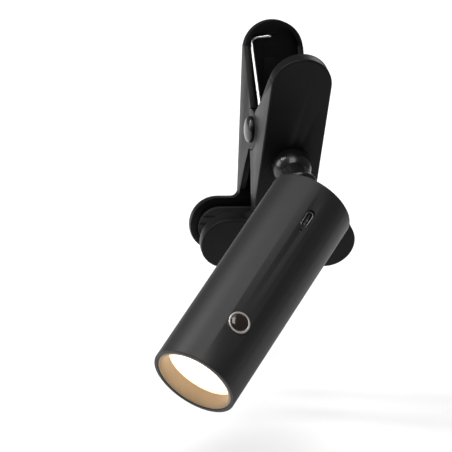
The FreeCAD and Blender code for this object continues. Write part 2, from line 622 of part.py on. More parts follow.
def socket_pieces():
    ball = f"({D}ballDiameter/2+{D}ballPlay)"
    step, lip = f"({D}seatRadius-{D}seatStep)", f"({D}ballSink-{D}capInset)"
    shoulder = f"({D}capInset+{D}seatStepHigh)"
    seat = turned("ball_seat", [
        (f"sqrt({ball}^2-{lip}^2)", f"{D}capInset", ball, "clockwise"), (step, f"{D}capInset"),
        (step, shoulder), (f"{D}seatRadius", shoulder), (f"{D}seatRadius", f"{D}seatDeep"),
        (f"{D}seatExit", f"{D}seatDeep"), (f"{D}seatExit", f"{D}ballSink+sqrt({ball}^2-{D}seatExit^2)")])
    skirt, flange = f"({D}capInset+{D}capSkirt)", f"({D}capInset+{D}capFlange)"
    ledge, hole = f"({shoulder}-{D}fitGap)", f"({D}seatRadius+{D}fitGap)"
    cap = turned("rear_cap", [
        (f"{step}+{D}fitGap", f"{D}capInset"), (FITTED, f"{D}capInset"), (FITTED, skirt),
        (f"{FITTED}-{D}skirtWall", skirt), (f"{FITTED}-{D}skirtWall", flange), (f"{D}hubRadius", flange),
        (f"{D}hubRadius", HUB_TOP), (hole, HUB_TOP), (hole, ledge), (f"{step}+{D}fitGap", ledge)])
    pocket(circles(cap, "XY_Plane", screw_spots(f"{D}capScrewDiameter/2"), lift=HUB_TOP), f"{D}capScrewDeep")
    retainer = turned("seat_retainer", rectangle(
        f"{D}seatExit", HUB_TOP, f"{D}hubRadius", f"{HUB_TOP}+{D}retainerThick"))
    pass_holes = screw_spots(f"{D}capScrewDiameter/2+{D}fitGap")
    pocket(circles(retainer, "XY_Plane", pass_holes, lift=f"{HUB_TOP}+{D}retainerThick"), f"{D}retainerThick")
    screws = new_body("cap_screws")
    screws.AllowCompound = True
    under = f"({HUB_TOP}+{D}retainerThick)"
    shank = circles(screws, "XY_Plane", screw_spots(f"{D}capScrewDiameter/2"), lift=under)
    pad(shank, f"{D}retainerThick+{D}capScrewDeep-{D}capInset", reverse=True)
    heads = circles(screws, "XY_Plane", screw_spots(f"{D}capScrewHead/2"), lift=under)
    pad(heads, f"{D}capScrewHeadHigh")
    return seat, cap, retainer, screws


def power_pieces():
    radius = f"{D}cellDiameter/2"
    top = f"({D}cellStart+{D}cellLength-{D}nubHigh)"
    cell = turned("battery_cell", [
        ("0", f"{D}cellStart"), (radius, f"{D}cellStart"), (radius, top), (f"{D}nubRadius", top),
        (f"{D}nubRadius", f"{top}+{D}nubHigh"), ("0", f"{top}+{D}nubHigh")])
    cell.Placement = head_place() * Placement(Vector(-number(f"{D}cellOffset"), 0, 0), Rotation())
    return cradle(), main_board()


def cradle():
    # half shell on the far side from the button, with saddle ribs under the cell
    body = new_body("battery_cradle")
    outer, inner = f"({TUBE_IN}-{D}cradleClear)", f"({TUBE_IN}-{D}cradleClear-{D}cradleWall)"
    half_ring = [("0", f"-{inner}"), (f"-{inner}", "0", inner, "clockwise"), ("0", inner, inner, "clockwise"),
                 ("0", outer), (f"-{outer}", "0", outer), ("0", f"-{outer}", outer)]
    pad(outline(body, "XY_Plane", half_ring, lift=f"{D}cradleStart"), CRADLE_LENGTH)
    middle = f"({outer}-{D}cradleWall/2)"
    saddle = [("0", middle), (f"-{middle}", "0", middle), ("0", f"-{middle}", middle)]
    rib = pad(outline(body, "XY_Plane", saddle, lift=f"{D}cellStart"), f"{D}cradleRib")
    row_pattern(body, rib, f"{D}cradleRibPitch*({D}cradleRibs-1)", f"{D}cradleRibs")
    bore = [(f"-{D}cellOffset", "0", f"{D}cellDiameter/2+{D}cellClear")]
    pocket(circles(body, "XY_Plane", bore, lift=f"{D}cradleStart"), CRADLE_LENGTH, reverse=True)
    return body


def on_board(label, shape_or_round, height, start=BOARD_TOP):
    # a part that stands on the circuit board, facing the tube's wall
    body = new_body(label)
    draw = circles if len(shape_or_round) == 1 else outline
    pad(draw(body, "YZ_Plane", shape_or_round, lift=start), height)
    return body


def centred(width, length, place):
    return rectangle(f"-{width}/2", f"{place}-{length}/2", f"{width}/2", f"{place}+{length}/2")


def main_board():
    middle = f"({D}boardStart+{BOARD_LENGTH}/2)"
    return on_board("main_board", centred(f"{D}boardWidth", BOARD_LENGTH, middle),
                    f"{D}boardThick", start=BOARD_LOW)


def board_pieces():
    chip = on_board("charge_chip", centred(f"{D}chipSide", f"{D}chipSide", f"{D}chipPlace"), f"{D}chipTall")
    choke = on_board("boost_choke", [("0", f"{D}chokePlace", f"{D}chokeRadius")], f"{D}chokeTall")
    led = on_board("indicator_led", centred(f"{D}ledWide", f"{D}ledLong", f"{D}lightPlace"), f"{D}ledTall")
    pipe_start = f"({BOARD_TOP}+{D}ledTall+{D}pipeGap)"
    pipe = on_board("light_pipe", [("0", f"{D}lightPlace", f"{D}lightDiameter/2-{D}pipeClear")],
                    f"{D}headDiameter/2-{D}pipeInset-{pipe_start}", start=pipe_start)
    return chip, choke, led, pipe, *port_pieces(), button_pieces()


def port_pieces():
    wide, long = f"{D}shellWide/2", f"{D}shellLong/2"
    shell = on_board("usb_shell", stadium(long, wide, up=f"{D}portPlace", upright=True), f"{D}shellTall")
    inner = stadium(f"({long}-{D}shellWall)", f"({wide}-{D}shellWall)", up=f"{D}portPlace", upright=True)
    floor = f"({BOARD_TOP}+{D}shellFloor)"
    pocket(outline(shell, "YZ_Plane", inner, lift=floor), f"{D}shellTall", reverse=True)
    tongue = on_board("usb_tongue", centred(f"{D}tongueWide", f"{D}tongueLong", f"{D}portPlace"),
                      f"{D}shellTall-{D}shellFloor-{D}tongueShort", start=floor)
    return shell, tongue


def button_pieces():
    switch = on_board("tactile_switch", centred(f"{D}switchSide", f"{D}switchSide", BUTTON_PLACE),
                      f"{D}switchTall")
    flange_low = f"({RING_LOW}-{D}buttonPlay-{D}flangeThick)"
    plunger = circles(switch, "YZ_Plane", [("0", BUTTON_PLACE, f"{D}plungerRadius")], lift=BOARD_TOP)
    pad(plunger, f"{flange_low}-{D}buttonTravel-{D}buttonPlay-{BOARD_TOP}")
    bore = f"({D}ringDiameter/2-{D}ringWall)"
    ring = turned("button_ring", rectangle(bore, RING_LOW, f"{D}ringDiameter/2", RING_TOP))
    round_edges(ring, lambda edge: abs(edge.BoundBox.ZMin - number(RING_TOP)) < TOUCH, f"{D}ringRound")
    side, edge_top = f"({bore}-{D}buttonPlay)", f"({RING_TOP}-{D}buttonLow)"
    crown = f"({side}^2+{D}buttonCrown^2)/(2*{D}buttonCrown)"
    flange, flange_top = f"{D}flangeRadius", f"{flange_low}+{D}flangeThick"
    cap = turned("button_cap", [
        ("0", flange_low), (flange, flange_low), (flange, flange_top), (side, flange_top),
        (side, edge_top), ("0", f"{edge_top}+{D}buttonCrown", crown)])
    sideways = Placement(Vector(0, 0, number(BUTTON_PLACE)), Rotation(Vector(0, 1, 0), 90))
    for piece in (ring, cap):
        piece.Placement = head_place() * sideways
    return switch


def light_pieces():
    throat = f"({D}emitterRadius+{D}emitterClear)"
    rim, flange = f"({LENS_RADIUS}-{D}gasketWall)", f"({GASKET_LOW}-{D}reflectorWall)"
    return (
        turned("heat_sink", rectangle("0", SINK_LOW, FITTED, LED_BOARD_LOW)),
        turned("led_board", rectangle("0", LED_BOARD_LOW, f"{TUBE_IN}-{D}ledBoardClear", REFLECTOR_LOW)),
        turned("led_emitter", rectangle(
            "0", REFLECTOR_LOW, f"{D}emitterRadius", f"{REFLECTOR_LOW}+{D}emitterThick")),
        turned("reflector", [
            (throat, REFLECTOR_LOW), (f"{throat}+{D}reflectorWall*1.5", REFLECTOR_LOW), (rim, flange),
            (LENS_RADIUS, flange), (LENS_RADIUS, GASKET_LOW),
            (f"{rim}-{D}reflectorWall/2", GASKET_LOW)]),
        turned("lens_gasket", rectangle(rim, GASKET_LOW, LENS_RADIUS, LENS_LOW)),
        turned("lens", rectangle("0", LENS_LOW, LENS_RADIUS, LENS_TOP)),
        turned("bezel_ring", rectangle(
            f"{FITTED}-{D}bezelWall", LENS_TOP, FITTED, f"{D}headLength-{D}bezelInset")))


# ---------------------------------------------------------------- the lamp
lever("front_lever", rear=False)
lever("rear_lever", rear=True)
grip_pad("front_pad", rear=False)
grip_pad("rear_pad", rear=True)
hinge_pin()
pin_cap("left_pin_cap", -1)
pin_cap("right_pin_cap", 1)
placed_shape("spring_coil", wire_solid(Part.Wire(spring_coil() + spring_leg(0))), lever_place(True))
front_leg = Part.Wire(spring_leg(number(f"{D}fitGap")))
placed_shape("spring_front_leg", wire_solid(front_leg), lever_place(False))
neck()
for piece in (head_tube(), *socket_pieces(), *power_pieces(), *board_pieces(), *light_pieces()):
    piece.Placement = head_place()

# ---------------------------------------------------------------- checks and export
doc.recompute()
bodies = [item for item in doc.Objects if item.TypeId == "PartDesign::Body"]
loose = [item for item in doc.Objects if item.TypeId == "Part::Feature"]
for item in doc.Objects:
    if "Invalid" in item.State or "Error" in item.State:
        raise RuntimeError(f"{item.Label} failed in {item.getParentGeoFeatureGroup().Label}")
os.makedirs("parts", exist_ok=True)
for piece in bodies + loose:
    if piece.Shape.isNull() or not piece.Shape.isValid():
        raise RuntimeError(f"{piece.Label} has no valid shape")
    piece.Shape.exportStep(f"parts/{piece.Label}.step")
    print(piece.Label, len(piece.Shape.Solids), round(piece.Shape.Volume, 1))
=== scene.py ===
import json
import math

import bmesh
import bpy
from mathutils import Matrix, Vector


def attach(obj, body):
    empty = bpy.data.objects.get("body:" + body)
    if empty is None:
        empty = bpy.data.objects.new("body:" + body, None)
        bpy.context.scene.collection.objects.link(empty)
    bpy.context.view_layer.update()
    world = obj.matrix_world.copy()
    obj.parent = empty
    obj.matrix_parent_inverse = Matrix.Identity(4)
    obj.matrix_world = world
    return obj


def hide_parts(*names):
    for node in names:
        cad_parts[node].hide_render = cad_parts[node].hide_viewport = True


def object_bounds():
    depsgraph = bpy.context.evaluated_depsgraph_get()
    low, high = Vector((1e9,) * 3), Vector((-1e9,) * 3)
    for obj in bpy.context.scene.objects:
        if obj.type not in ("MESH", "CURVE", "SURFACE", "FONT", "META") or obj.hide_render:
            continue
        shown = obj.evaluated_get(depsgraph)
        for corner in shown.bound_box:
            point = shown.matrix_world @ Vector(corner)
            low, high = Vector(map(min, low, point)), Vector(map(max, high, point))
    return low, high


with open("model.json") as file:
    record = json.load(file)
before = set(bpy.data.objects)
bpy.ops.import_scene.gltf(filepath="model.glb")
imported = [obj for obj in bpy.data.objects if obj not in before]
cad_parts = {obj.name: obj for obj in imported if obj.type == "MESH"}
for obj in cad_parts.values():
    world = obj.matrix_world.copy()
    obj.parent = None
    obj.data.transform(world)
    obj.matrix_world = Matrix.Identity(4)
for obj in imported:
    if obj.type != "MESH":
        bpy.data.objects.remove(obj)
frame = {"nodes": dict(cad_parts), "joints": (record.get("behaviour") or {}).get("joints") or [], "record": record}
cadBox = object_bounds()
joints = {joint["name"]: joint for joint in frame["joints"]}
mounts = {mount["name"]: mount for mount in frame["record"]["mounts"]}
mm = 0.001
inMm = Matrix.Scale(mm, 4)


# places: each sends millimetres in a piece's own axes to metres on the lamp
def placeAt(origin, sideways, outward):
    zAxis = Vector(outward).normalized()
    xAxis = (Vector(sideways) - zAxis * Vector(sideways).dot(zAxis)).normalized()
    turned = Matrix((xAxis, zAxis.cross(xAxis), zAxis)).transposed().to_4x4()
    return Matrix.Translation(origin) @ turned @ inMm


pivot = Vector(joints["clip_open"]["pos_m"])
ball = Vector(joints["neck_swivel"]["pos_m"])
outOfFace = Vector(joints["neck_swivel"]["axis"])
towardsLight = Vector(joints["head_turn"]["axis"])
portSide = Vector(mounts["charging_port"]["axis"])
acrossClip = Vector((1, 0, 0))

neckPlace = placeAt(ball, acrossClip, outOfFace)
headPlace = placeAt(ball, portSide, towardsLight)


def reach(node, place):
    # a CAD node's lowest and highest corner in that place's millimetres
    back = place.inverted()
    spots = [back @ vertex.co for vertex in frame["nodes"][node].data.vertices]
    low = Vector([min(spot[axis] for spot in spots) for axis in range(3)])
    high = Vector([max(spot[axis] for spot in spots) for axis in range(3)])
    return low, high


# meshes, in millimetres and degrees
meshLook = {"turnedGap": 0.002, "copiedGap": 0.004, "flatWithin": 1, "roundFrom": 30, "sharpFrom": 35,
            "turnSteps": 96, "roundSteps": 3, "copyRoundSteps": 2}


def finished(name, bm, place, material, body, *nodes):
    mesh = bpy.data.meshes.new(name)
    bm.to_mesh(mesh)
    bm.free()
    mesh.transform(place)
    mesh.shade_smooth()
    mesh.set_sharp_from_angle(angle=math.radians(meshLook["sharpFrom"]))
    piece = bpy.data.objects.new(name, mesh)
    bpy.context.scene.collection.objects.link(piece)
    mesh.materials.append(material)
    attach(piece, body)
    if nodes:
        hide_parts(*nodes)


def roundCorners(bm, width, segments):
    hard = math.radians(meshLook["roundFrom"])
    edges = [edge for edge in bm.edges if edge.is_manifold and edge.calc_face_angle() > hard]
    bmesh.ops.bevel(bm, geom=edges, offset=width, offset_type="OFFSET", segments=segments,
                    profile=0.5, affect="EDGES", material=-1, clamp_overlap=True)


def lathe(profile, rounding, ring=False):
    # turned about Z from (radius, height) pairs; ring says that it has a hole right through
    bm = bmesh.new()
    spots = [bm.verts.new((radius, 0, height)) for radius, height in profile]
    pairs = list(zip(spots, spots[1:])) + ([(spots[-1], spots[0])] if ring else [])
    edges = [bm.edges.new(pair) for pair in pairs]
    bmesh.ops.spin(bm, geom=spots + edges, axis=(0, 0, 1), cent=(0, 0, 0), angle=math.tau,
                   steps=meshLook["turnSteps"], use_merge=True)
    bmesh.ops.remove_doubles(bm, verts=bm.verts, dist=meshLook["turnedGap"])
    bmesh.ops.recalc_face_normals(bm, faces=bm.faces)
    roundCorners(bm, rounding, meshLook["roundSteps"])
    return bm


def arc(centre, radius, first, last, count):
    # points along an arc in a half section, angles in degrees
    turns = [math.radians(first + (last - first) * step / count) for step in range(count + 1)]
    return [(centre[0] + radius * math.cos(turn), centre[1] + radius * math.sin(turn)) for turn in turns]


def softCopy(node, width):
    # a CAD node's own shape, its flat faces made whole and its hard edges rounded
    bm = bmesh.new()
    bm.from_mesh(frame["nodes"][node].data)
    bmesh.ops.scale(bm, vec=(1 / mm,) * 3, verts=bm.verts)
    bmesh.ops.remove_doubles(bm, verts=bm.verts, dist=meshLook["copiedGap"])
    flat = math.radians(meshLook["flatWithin"])
    bmesh.ops.dissolve_limit(bm, angle_limit=flat, verts=bm.verts, edges=bm.edges)
    roundCorners(bm, width, meshLook["copyRoundSteps"])
    return bm


# materials
class Wired:
    # one output socket of a material's nodes; sums written on it add Math nodes
    def __init__(self, tree, socket=None):
        self.tree = tree
        self.socket = socket

    def node(self, kind, settings=None, inputs=None, output=0):
        made = self.tree.nodes.new(kind)
        for name, value in (settings or {}).items():
            if name == "stops":
                ramp = made.color_ramp.elements
                while len(ramp) < len(value):
                    ramp.new(1)
                for stop, (position, colour) in zip(ramp, value):
                    stop.position = position
                    stop.color = (*colour, 1)
            else:
                setattr(made, name, value)
        for name, value in (inputs or {}).items():
            if isinstance(value, Wired):
                self.tree.links.new(value.socket, made.inputs[name])
            else:
                made.inputs[name].default_value = value
        return Wired(self.tree, made.outputs[output])

    def maths(self, operation, *values):
        return self.node("ShaderNodeMath", {"operation": operation}, dict(enumerate(values)))

    def __add__(self, other):
        return self.maths("ADD", self, other)

    def __rsub__(self, other):
        return self.maths("SUBTRACT", other, self)

    def __mul__(self, other):
        return self.maths("MULTIPLY", self, other)

    __radd__ = __add__
    __rmul__ = __mul__

    def above(self, level):
        return self.maths("GREATER_THAN", self, level)

    def fromAxis(self):
        # distance from the Z axis
        return self.maths("SQRT", self.part("X") * self.part("X") + self.part("Y") * self.part("Y"))

    def noise(self, scale, detail=2.0, roughness=0.5):
        return self.node("ShaderNodeTexNoise", {}, {"Vector": self, "Scale": scale, "Detail": detail,
                                                    "Roughness": roughness})

    def part(self, name):
        return self.node("ShaderNodeSeparateXYZ", {}, {0: self}, output="XYZ".index(name))

    def blend(self, low, high):
        # a colour between two, by this value
        low, high = [colour if isinstance(colour, Wired) else (*colour, 1) for colour in (low, high)]
        return self.node("ShaderNodeMix", {"data_type": "RGBA"}, {0: self, 6: low, 7: high}, output=2)

    def bump(self, strength, distance):
        return self.node("ShaderNodeBump", {}, {"Height": self, "Strength": strength, "Distance": distance})


def newMaterial(name, fixed):
    material = bpy.data.materials.new(name)
    material.use_nodes = True
    shader = material.node_tree.nodes["Principled BSDF"]
    for socket, value in fixed.items():
        shader.inputs[socket].default_value = value
    start = Wired(material.node_tree)
    return material, shader, start.node("ShaderNodeTexCoord", {}, {}, output=3)


def connect(shader, links):
    for socket, value in links.items():
        value.tree.links.new(value.socket, shader.inputs[socket])


def centred(spot, place):
    # Object coordinates brought to a piece's own axes, in metres, so a pattern can follow the piece
    turn = place.to_3x3().normalized()
    return spot.node("ShaderNodeMapping", {"vector_type": "TEXTURE"}, {
        "Vector": spot, "Location": place.translation, "Rotation": turn.to_euler()})


mouldLook = {"sparkShare": 0.3, "cloudDetail": 4, "sparkDetail": 3, "sparkRough": 0.6,
             "hazeScale": 2.3, "hazeDetail": 5, "hazeRough": 0.65}


def spreadAround(look, share):
    # roughness that varies evenly about its middle value
    return look["rough"] - look["roughSpread"] / 2 + share * look["roughSpread"]


def mouldedPlastic(name, look):
    # satin moulding: fine spark texture, faint flow clouds and a little handling haze
    material, shader, spot = newMaterial(name, look.get("fixed", {}))
    clouds = spot.noise(look["clouds"], mouldLook["cloudDetail"])
    spark = spot.noise(look["grain"], mouldLook["sparkDetail"], mouldLook["sparkRough"])
    mixed = clouds * (1 - mouldLook["sparkShare"]) + spark * mouldLook["sparkShare"]
    hazeScale = look["clouds"] * mouldLook["hazeScale"]
    haze = spot.noise(hazeScale, mouldLook["hazeDetail"], mouldLook["hazeRough"])
    connect(shader, {
        "Base Color": mixed.blend(look["dark"], look["light"]),
        "Roughness": spreadAround(look, haze),
        "Normal": spark.bump(look["bump"], look["depth"])})
    return material


workingLines = {"detail": 3, "rough": 0.6, "share": 0.4, "tarnishDetail": 4}


def drawnSteel(name, look):
    # metal with fine working lines along one axis of the lamp, or of the piece's own place
    material, shader, spot = newMaterial(name, {"Metallic": 1.0})
    if "place" in look:
        spot = centred(spot, look["place"])
    stretched = spot.node("ShaderNodeMapping", {}, {"Vector": spot, "Scale": look["stretch"]})
    lines = stretched.noise(1, workingLines["detail"], workingLines["rough"])
    tarnish = spot.noise(look["clouds"], workingLines["tarnishDetail"])
    mixed = tarnish * (1 - workingLines["share"]) + lines * workingLines["share"]
    connect(shader, {
        "Base Color": mixed.blend(look["dark"], look["light"]),
        "Roughness": spreadAround(look, lines),
        "Normal": lines.bump(look["bump"], look["depth"])})
    return material


turningLook = {"speckleDetail": 4, "ringShare": 0.5}


def turnedMetal(name, look):
    # metal faced on a lathe: fine rings about the piece's own axis
    material, shader, spot = newMaterial(name, {"Metallic": look["metal"]})
    own = centred(spot, look["place"])
    rings = spot.maths("SINE", own.fromAxis() * look["rings"]) * 0.5 + 0.5
    speckle = spot.noise(look["clouds"], turningLook["speckleDetail"])
    mixed = rings * turningLook["ringShare"] + speckle * (1 - turningLook["ringShare"])
    connect(shader, {
        "Base Color": speckle.blend(look["dark"], look["light"]),
        "Roughness": spreadAround(look, mixed),
        "Normal": rings.bump(look["bump"], look["depth"])})
    return material


leverPlastic = mouldedPlastic("satinBlackMoulding", {
    "dark": (0.0032, 0.0032, 0.0031), "light": (0.0060, 0.0059, 0.0056), "clouds": 60, "grain": 2600,
    "rough": 0.40, "roughSpread": 0.12, "bump": 0.25, "depth": 0.00008,
    "fixed": {"Specular IOR Level": 0.14}})
padRubber = mouldedPlastic("gripRubber", {
    "dark": (0.012, 0.012, 0.012), "light": (0.026, 0.025, 0.024), "clouds": 130, "grain": 1900,
    "rough": 0.78, "roughSpread": 0.18, "bump": 0.5, "depth": 0.00015, "fixed": {"Specular IOR Level": 0.3}})
glossBlack = mouldedPlastic("polishedBlack", {
    "dark": (0.006, 0.006, 0.0065), "light": (0.010, 0.010, 0.0105), "clouds": 90, "grain": 900,
    "rough": 0.28, "roughSpread": 0.08, "bump": 0.04, "depth": 0.00005,
    "fixed": {"Specular IOR Level": 0.32, "Coat Weight": 0.35, "Coat Roughness": 0.2}})
headCoat = mouldedPlastic("fineMattCoat", {
    "dark": (0.0085, 0.0085, 0.009), "light": (0.0145, 0.0145, 0.0155), "clouds": 45, "grain": 5200,
    "rough": 0.48, "roughSpread": 0.08, "bump": 0.22, "depth": 0.00005,
    "fixed": {"Specular IOR Level": 0.42}})
seatPlastic = mouldedPlastic("acetalBlack", {
    "dark": (0.012, 0.012, 0.013), "light": (0.022, 0.022, 0.023), "clouds": 80, "grain": 2200,
    "rough": 0.38, "roughSpread": 0.1, "bump": 0.12, "depth": 0.00005})
buttonGloss = mouldedPlastic("smokedButton", {
    "dark": (0.012, 0.007, 0.005), "light": (0.022, 0.013, 0.009), "clouds": 300, "grain": 1500,
    "rough": 0.12, "roughSpread": 0.08, "bump": 0.03, "depth": 0.00004,
    "fixed": {"Coat Weight": 0.6, "Coat Roughness": 0.05}})
naturalNylon = mouldedPlastic("naturalNylon", {
    "dark": (0.56, 0.54, 0.48), "light": (0.70, 0.68, 0.62), "clouds": 70, "grain": 1600,
    "rough": 0.5, "roughSpread": 0.12, "bump": 0.12, "depth": 0.00006, "fixed": {"Subsurface Weight": 0.05}})
chipPlastic = mouldedPlastic("chipMoulding", {
    "dark": (0.016, 0.016, 0.017), "light": (0.032, 0.032, 0.033), "clouds": 400, "grain": 4200,
    "rough": 0.55, "roughSpread": 0.15, "bump": 0.4, "depth": 0.00005})
whiteReflector = mouldedPlastic("whiteReflector", {
    "dark": (0.78, 0.77, 0.73), "light": (0.86, 0.85, 0.82), "clouds": 120, "grain": 1800,
    "rough": 0.25, "roughSpread": 0.1, "bump": 0.05, "depth": 0.00004})
springSteel = drawnSteel("drawnSpringWire", {
    "dark": (0.62, 0.61, 0.59), "light": (0.84, 0.83, 0.81), "stretch": (5200, 5200, 260), "clouds": 240,
    "rough": 0.24, "roughSpread": 0.14, "bump": 0.12, "depth": 0.00003})
zincScrew = drawnSteel("zincPlate", {
    "dark": (0.46, 0.47, 0.49), "light": (0.66, 0.66, 0.65), "stretch": (900, 900, 900), "clouds": 500,
    "rough": 0.34, "roughSpread": 0.16, "bump": 0.1, "depth": 0.00004})

rearEnd, litEnd = reach("button_ring", headPlace)
buttonSpot = headPlace @ Vector((0, 0, (rearEnd.z + litEnd.z) / 2))
buttonPlace = placeAt(buttonSpot, towardsLight, portSide)
portPlace = placeAt(Vector(mounts["charging_port"]["pos_m"]), towardsLight, portSide)

satinNickel = turnedMetal("satinNickel", {
    "place": buttonPlace, "dark": (0.62, 0.57, 0.52), "light": (0.76, 0.71, 0.66), "rings": 60000,
    "metal": 1.0, "clouds": 700, "rough": 0.38, "roughSpread": 0.14, "bump": 0.1, "depth": 0.00002})
bareAluminium = turnedMetal("turnedAluminium", {
    "place": headPlace, "dark": (0.68, 0.69, 0.70), "light": (0.82, 0.82, 0.83), "rings": 22000,
    "metal": 1.0, "clouds": 300, "rough": 0.33, "roughSpread": 0.16, "bump": 0.15, "depth": 0.00003})
bezelMetal = turnedMetal("warmSatinLiner", {
    "place": headPlace, "dark": (0.30, 0.21, 0.125), "light": (0.36, 0.255, 0.155), "rings": 9000,
    "metal": 0.35, "clouds": 160, "rough": 0.42, "roughSpread": 0.1, "bump": 0.06, "depth": 0.00003})
portSteel = drawnSteel("platedShell", {
    "place": portPlace, "dark": (0.40, 0.40, 0.41), "light": (0.56, 0.56, 0.57), "stretch": (900, 900, 9000),
    "clouds": 900, "rough": 0.3, "roughSpread": 0.15, "bump": 0.1, "depth": 0.00002})
contactGold = drawnSteel("contactGold", {
    "place": portPlace, "dark": (0.72, 0.50, 0.20), "light": (0.86, 0.66, 0.32), "stretch": (4000, 4000, 400),
    "clouds": 1500, "rough": 0.25, "roughSpread": 0.1, "bump": 0.05, "depth": 0.00001})


cellLow, cellHigh = reach("battery_cell", headPlace)
sleeveLook = {"middle": (cellLow.x + cellHigh.x) / 2, "start": cellLow.z + 0.05, "end": cellHigh.z - 1.1,
              "lip": 7.2, "crinkle": (500, 500, 60), "detail": 4, "dark": (0.015, 0.075, 0.24),
              "light": (0.03, 0.12, 0.34), "steel": (0.6, 0.6, 0.6), "rough": 0.40, "roughSpread": 0.12,
              "bump": 0.2, "depth": 0.00006, "fixed": {"Coat Weight": 0.3, "Coat Roughness": 0.2}}


def cellSleeve(look):
    # blue heat-shrink sleeve, folded in over the ends where the bare steel begins
    material, shader, spot = newMaterial("shrinkSleeve", look["fixed"])
    own = centred(spot, headPlace @ Matrix.Translation((look["middle"], 0, 0)))
    along = own.part("Z")
    stretched = spot.node("ShaderNodeMapping", {}, {"Vector": own, "Scale": look["crinkle"]})
    crinkle = stretched.noise(1, look["detail"])
    body = along.above(look["start"] * mm) * (1 - along.above(look["end"] * mm))
    steel = (1 - body) * (1 - own.fromAxis().above(look["lip"] * mm))
    sleeve = crinkle.blend(look["dark"], look["light"])
    connect(shader, {"Base Color": steel.blend(sleeve, look["steel"]), "Metallic": steel,
                     "Roughness": spreadAround(look, crinkle),
                     "Normal": crinkle.bump(look["bump"], look["depth"])})
    return material


boardLook = {"turn": (math.pi / 2, 0, math.pi / 2), "scale": 260, "track": 0.035, "wide": 1.3, "row": 0.6,
             "pads": 480, "padRandom": 0.35, "padRadius": 0.16, "gridShare": 0.8, "grain": 900, "detail": 2,
             "dark": (0.006, 0.07, 0.028), "light": (0.012, 0.115, 0.05), "tin": (0.62, 0.61, 0.58),
             "rough": 0.42, "tinSmoother": 0.12, "bump": 0.3, "depth": 0.00003,
             "fixed": {"Coat Weight": 0.3, "Coat Roughness": 0.25}}


def circuitBoard(look):
    # green mask over copper tracks, with tinned pads on a regular pitch
    material, shader, spot = newMaterial("solderMask", look["fixed"])
    own = centred(spot, headPlace)
    turned = spot.node("ShaderNodeMapping", {}, {"Vector": own, "Rotation": look["turn"]})
    grid = spot.node("ShaderNodeTexBrick", {"offset": 0.5, "squash": 1.0}, {
        "Vector": turned, "Color1": (1, 1, 1, 1), "Color2": (1, 1, 1, 1), "Mortar": (0, 0, 0, 1),
        "Scale": look["scale"], "Mortar Size": look["track"], "Brick Width": look["wide"],
        "Row Height": look["row"]}, output=1)
    pads = spot.node("ShaderNodeTexVoronoi", {"feature": "F1"}, {
        "Vector": own, "Scale": look["pads"], "Randomness": look["padRandom"]})
    tinned = 1 - pads.above(look["padRadius"])
    grain = own.noise(look["grain"], look["detail"])
    mask = (grid * look["gridShare"] + grain * (1 - look["gridShare"])).blend(look["dark"], look["light"])
    connect(shader, {
        "Base Color": tinned.blend(mask, look["tin"]),
        "Metallic": tinned, "Roughness": look["rough"] - tinned * look["tinSmoother"],
        "Normal": (grid + tinned).bump(look["bump"], look["depth"])})
    return material


whiteLook = {"trace": 2600, "grime": 500, "detail": 4, "share": 0.5, "dark": (0.74, 0.73, 0.69),
             "light": (0.86, 0.86, 0.84), "rough": 0.425, "roughSpread": 0.15, "bump": 0.2, "depth": 0.00003}


def whiteBoard(look):
    # white mask of the metal-cored LED board, with its round traces
    material, shader, spot = newMaterial("whiteMask", {})
    trace = spot.maths("ABSOLUTE", spot.maths("SINE", centred(spot, headPlace).fromAxis() * look["trace"]))
    grime = spot.noise(look["grime"], look["detail"])
    mixed = grime * (1 - look["share"]) + trace * look["share"]
    connect(shader, {
        "Base Color": mixed.blend(look["dark"], look["light"]),
        "Roughness": spreadAround(look, grime), "Normal": trace.bump(look["bump"], look["depth"])})
    return material


phosphorLook = {"dots": 900, "dark": (0.95, 0.70, 0.18), "light": (0.85, 0.52, 0.10),
                "glowDark": (1.0, 0.86, 0.60), "glowLight": (1.0, 0.66, 0.30), "bump": 0.4, "depth": 0.0002,
                "fixed": {"Emission Strength": 2.0, "Roughness": 0.35}}


def ledPhosphor(look):
    # yellow silicone over the chips, glowing
    material, shader, spot = newMaterial("ledPhosphor", look["fixed"])
    dots = spot.node("ShaderNodeTexVoronoi", {"feature": "SMOOTH_F1"}, {
        "Vector": spot, "Scale": look["dots"]})
    connect(shader, {
        "Base Color": dots.blend(look["dark"], look["light"]),
        "Emission Color": dots.blend(look["glowDark"], look["glowLight"]),
        "Normal": dots.bump(look["bump"], look["depth"])})
    return material


lensLow, lensHigh = reach("lens", headPlace)
glowLook = {"radius": lensHigh.x, "milk": 900, "detail": 3, "dark": (0.86, 0.83, 0.76),
            "light": (0.93, 0.90, 0.84), "bump": 0.05, "depth": 0.00005,
            "stops": [(0.0, (1.0, 0.94, 0.84)), (0.8, (1.0, 0.90, 0.74)), (1.0, (1.0, 0.74, 0.45))],
            "fixed": {"Emission Strength": 1.7, "Roughness": 0.3, "Coat Weight": 0.3, "Coat Roughness": 0.1}}


def opalDiffuser(look):
    # glowing diffuser: nearly white in the middle, warmer and dimmer towards its rim
    material, shader, spot = newMaterial("opalDiffuser", look["fixed"])
    away = centred(spot, headPlace).fromAxis() * (1 / (look["radius"] * mm))
    fade = spot.node("ShaderNodeValToRGB", {"stops": look["stops"]}, {0: away})
    milk = spot.noise(look["milk"], look["detail"])
    connect(shader, {"Base Color": milk.blend(look["dark"], look["light"]),
                     "Emission Color": fade, "Normal": milk.bump(look["bump"], look["depth"])})
    return material


guideLook = {"swirl": 1200, "detail": 4, "dark": (0.030, 0.030, 0.032), "light": (0.07, 0.07, 0.075),
             "rough": 0.225, "roughSpread": 0.15, "fixed": {"Coat Weight": 0.4, "IOR": 1.49}}


